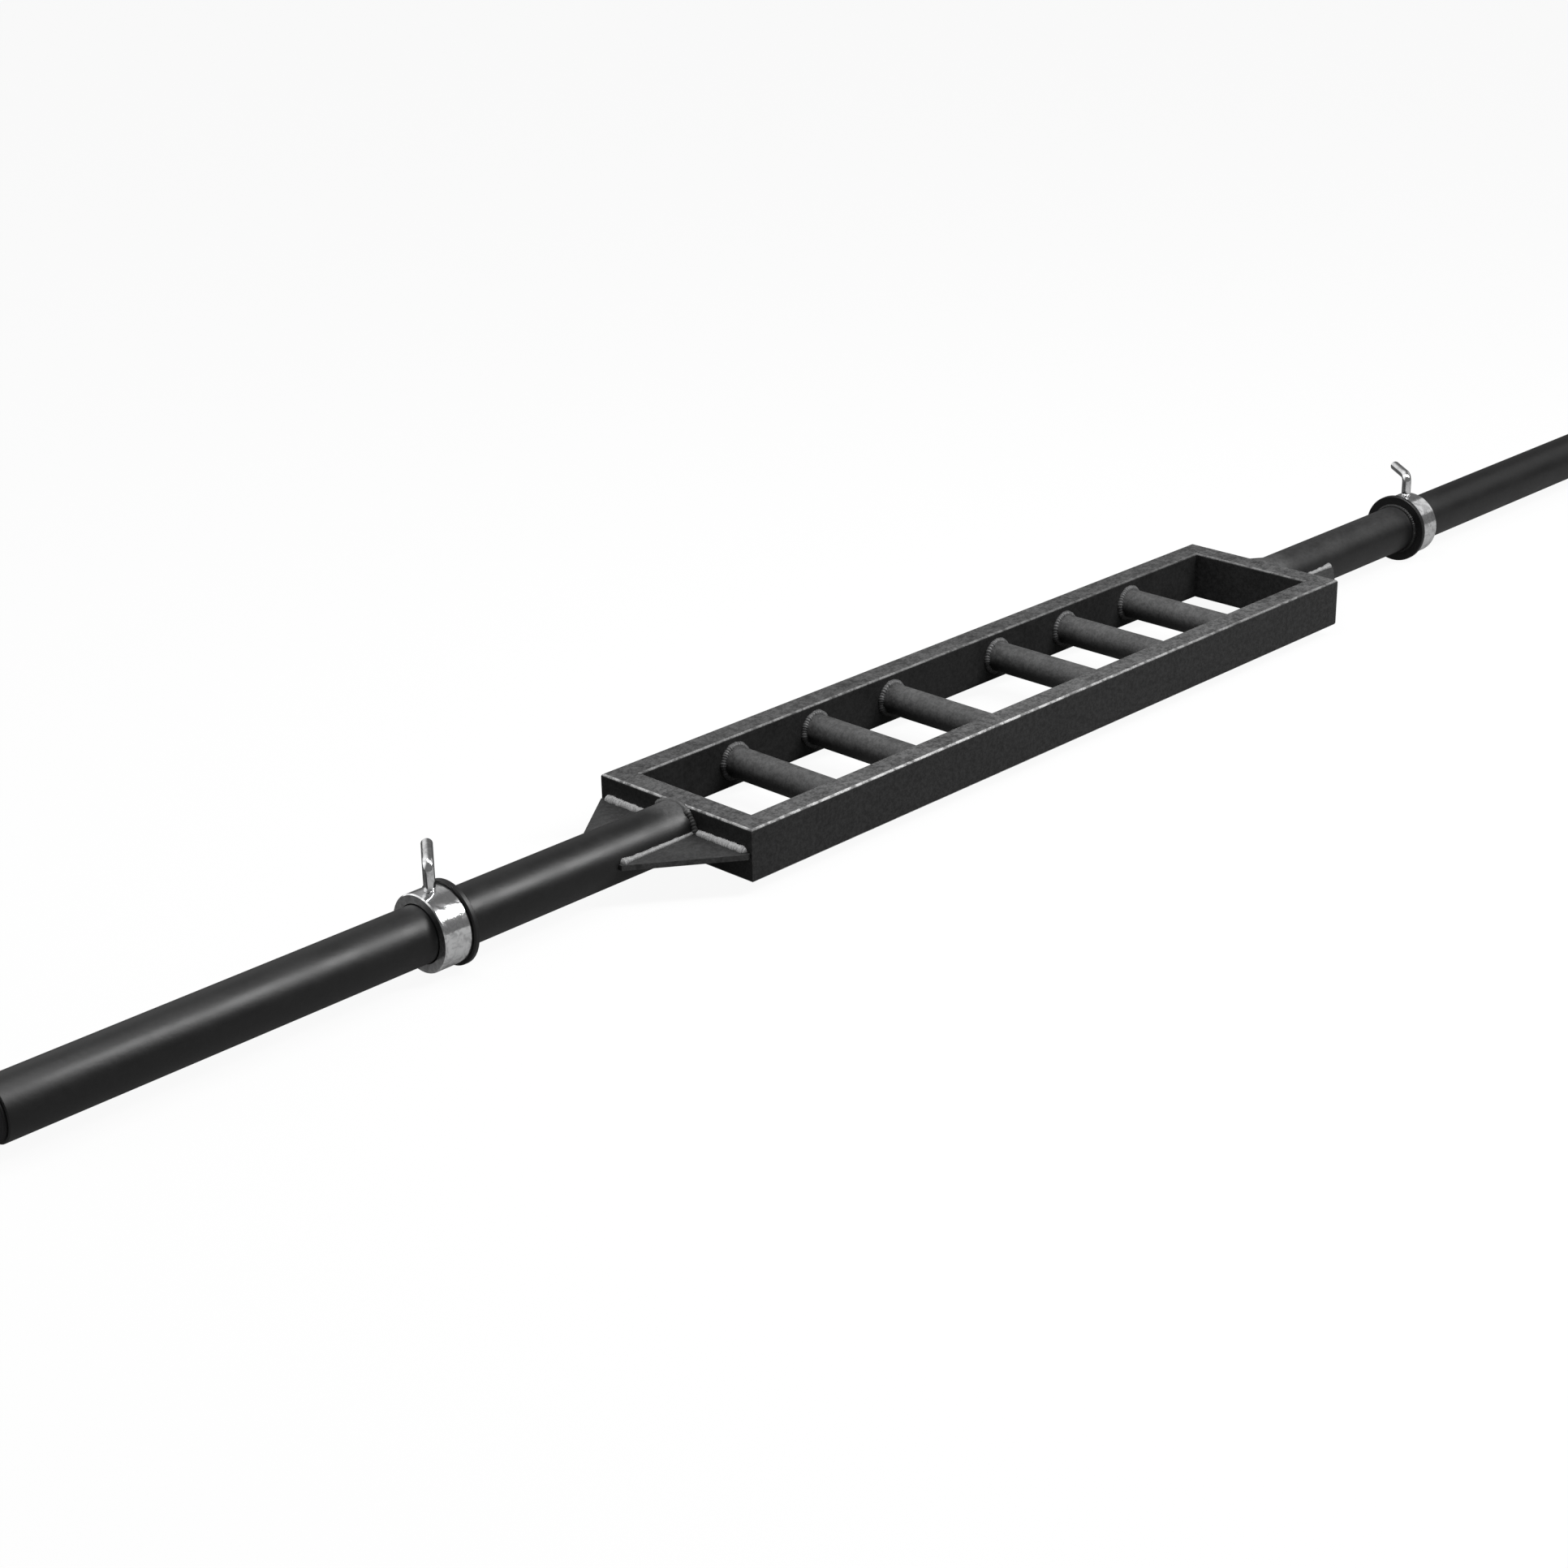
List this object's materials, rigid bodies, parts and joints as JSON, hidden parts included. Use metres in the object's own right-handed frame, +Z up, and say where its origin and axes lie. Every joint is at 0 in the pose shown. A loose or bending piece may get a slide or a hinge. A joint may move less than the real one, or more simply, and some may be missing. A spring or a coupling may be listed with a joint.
{
  "type": "multi-grip barbell",
  "caption": "Rectangular steel frame crossed by parallel round grips, with a straight plate sleeve, stop ring and screw-clamped collar at each end.",
  "frame": {"origin": "middle of the bar's length and width, at the height of the floor that the stop rings stand on", "axes": "+X along the bar, +Y across the frame away from the viewer of the picture's near rail, +Z up, the way the clamp screws stand"},
  "size_m": [2.235, 0.188, 0.099],
  "materials": {
    "powder_coat": "satin black powder coat",
    "weld_metal": "weld bead under the same coat",
    "zinc_plate": "bright zinc plate",
    "shoe_brass": "turned",
    "cap_plastic": "moulded"
  },
  "bodies": {
    "bar": {"front_rail": "powder_coat", "back_rail": "powder_coat", "left_end_member": "powder_coat", "right_end_member": "powder_coat", "grip_1": "powder_coat", "grip_2": "powder_coat", "grip_3": "powder_coat", "grip_4": "powder_coat", "grip_5": "powder_coat", "grip_6": "powder_coat", "left_tube": "powder_coat", "right_tube": "powder_coat", "left_front_gusset": "powder_coat", "left_back_gusset": "powder_coat", "right_front_gusset": "powder_coat", "right_back_gusset": "powder_coat", "left_stop_ring": "powder_coat", "right_stop_ring": "powder_coat", "left_end_cap": "cap_plastic", "right_end_cap": "cap_plastic", "grip_welds": "weld_metal", "left_end_welds": "weld_metal", "right_end_welds": "weld_metal", "stop_ring_welds": "weld_metal"},
    "left_collar": {"left_collar": "zinc_plate"},
    "right_collar": {"right_collar": "zinc_plate"},
    "left_shoe": {"left_clamp_shoe": "shoe_brass"},
    "right_shoe": {"right_clamp_shoe": "shoe_brass"},
    "left_screw": {"left_clamp_screw": "zinc_plate"},
    "right_screw": {"right_clamp_screw": "zinc_plate"}
  },
  "joints": [
    {"name": "left_collar_slide", "type": "slide", "parent": "bar", "child": "left_collar", "axis": [-1, 0, 0], "range_m": [0, 0.45]},
    {"name": "left_screw_feed", "type": "slide", "parent": "left_collar", "child": "left_shoe", "axis": [0, 0, 1], "range_m": [-0.00075, 0.00375]},
    {"name": "left_screw_turn", "type": "hinge", "parent": "left_shoe", "child": "left_screw", "pos_m": [-0.707, 0, 0.08], "axis": [0, 0, 1], "range_deg": [-179, 900]},
    {"name": "right_collar_slide", "type": "slide", "parent": "bar", "child": "right_collar", "axis": [1, 0, 0], "range_m": [0, 0.45]},
    {"name": "right_screw_feed", "type": "slide", "parent": "right_collar", "child": "right_shoe", "axis": [0, 0, 1], "range_m": [-0.00075, 0.00375]},
    {"name": "right_screw_turn", "type": "hinge", "parent": "right_shoe", "child": "right_screw", "pos_m": [0.707, 0, 0.08], "axis": [0, 0, 1], "range_deg": [-179, 900]}
  ],
  "couplings": [
    {"joint": "left_screw_feed", "follows": "left_screw_turn", "m_per_rad": 0.00023873},
    {"joint": "right_screw_feed", "follows": "right_screw_turn", "m_per_rad": 0.00023873}
  ]
}
